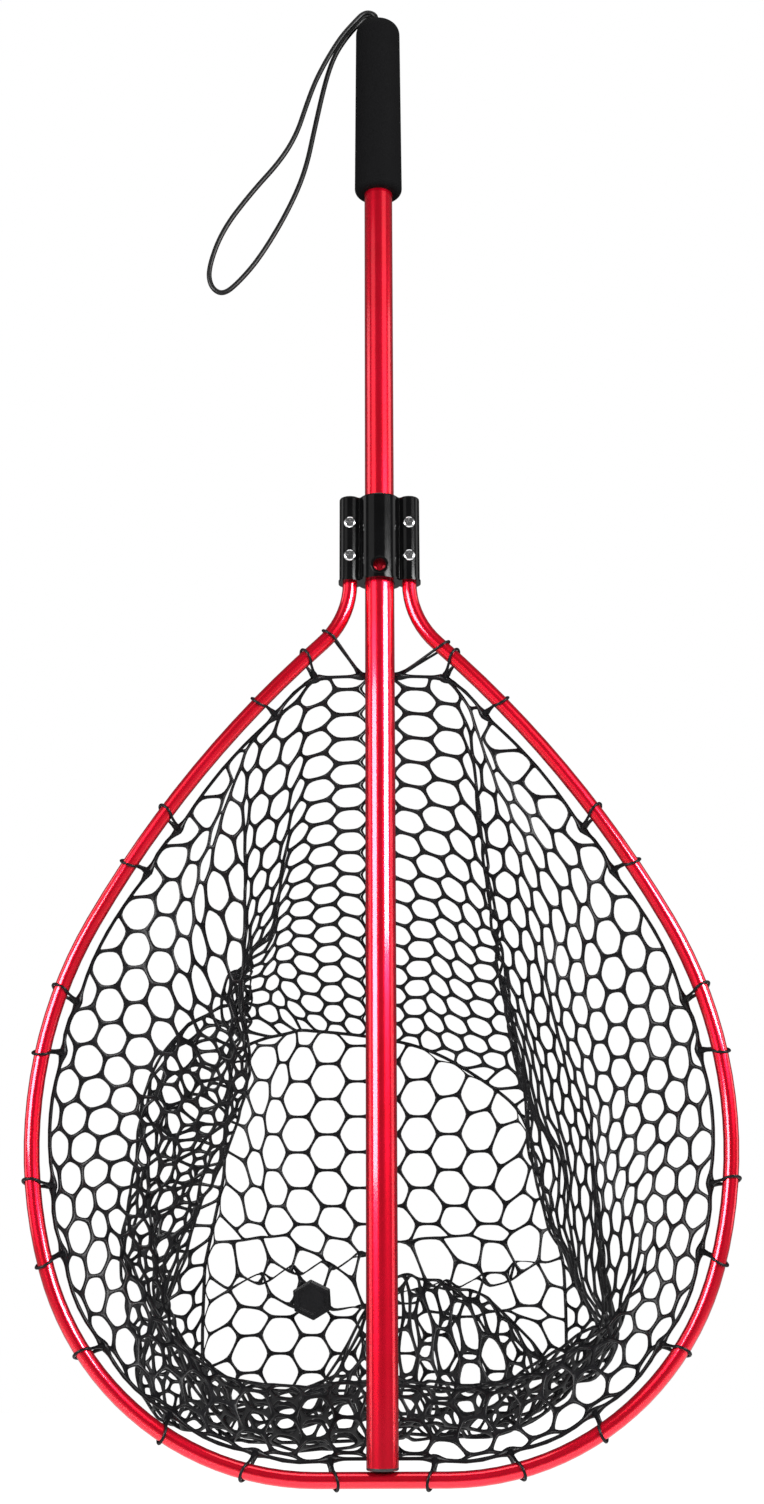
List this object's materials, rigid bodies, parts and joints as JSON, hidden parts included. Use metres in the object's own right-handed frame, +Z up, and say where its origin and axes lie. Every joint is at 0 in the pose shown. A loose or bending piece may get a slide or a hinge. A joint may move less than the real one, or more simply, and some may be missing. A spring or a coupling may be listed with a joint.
{
  "type": "landing net",
  "caption": "Landing net with a pear-shaped hoop, a moulded mesh bag and a yoke that slides along one long tube handle with a foam grip and a wrist lanyard.",
  "frame": {"origin": "on the handle tube's axis, halfway along the grip", "axes": "+Z up the handle towards the grip's end, +X to the right across the hoop, the hoop opens towards -Y and the bag hangs towards +Y"},
  "size_m": [0.5082, 0.2707, 1.1495],
  "materials": {
    "red_anodised": "red anodised, glossy",
    "foam": "matt foam",
    "black_plastic": "matt",
    "yoke_plastic": "glossy black",
    "spring_steel": "bright",
    "button_brass": "polished",
    "screw_steel": "bright plated",
    "bush_nylon": "natural nylon",
    "lanyard_cord": "braided cord",
    "net_rubber": "satin moulded rubber"
  },
  "bodies": {
    "handle": {"handle_tube": "red_anodised", "grip": "foam", "top_plug": "black_plastic", "bottom_plug": "black_plastic", "snap_spring": "spring_steel", "lanyard": "lanyard_cord", "lanyard_knot": "lanyard_cord"},
    "button": {"snap_button": "button_brass"},
    "slider": {"slide_bush": "bush_nylon"},
    "head": {"yoke_front": "yoke_plastic", "yoke_back": "yoke_plastic", "yoke_screw_lower_left": "screw_steel", "yoke_screw_lower_right": "screw_steel", "yoke_screw_upper_left": "screw_steel", "yoke_screw_upper_right": "screw_steel", "yoke_nut_lower_left": "screw_steel", "yoke_nut_lower_right": "screw_steel", "yoke_nut_upper_left": "screw_steel", "yoke_nut_upper_right": "screw_steel", "hoop_tube": "red_anodised", "hoop_insert_left": "black_plastic", "hoop_insert_right": "black_plastic", "rim_loops": "net_rubber", "net_wall": "net_rubber", "net_panel": "net_rubber", "panel_disc": "net_rubber"}
  },
  "joints": [
    {"name": "head_slide", "type": "slide", "parent": "handle", "child": "slider", "axis": [0, 0, -1], "range_m": [0, 0.6278]},
    {"name": "head_turn", "type": "hinge", "parent": "slider", "child": "head", "pos_m": [0, 0, -0.3675], "axis": [0, 0, 1], "range_deg": [-180, 180]},
    {"name": "button_press", "type": "slide", "parent": "handle", "child": "button", "axis": [0, -1, 0], "range_m": [0, 0.005], "stiffness_N_per_m": 2000, "springref_m": -0.002, "deforming": ["snap_spring"]}
  ]
}
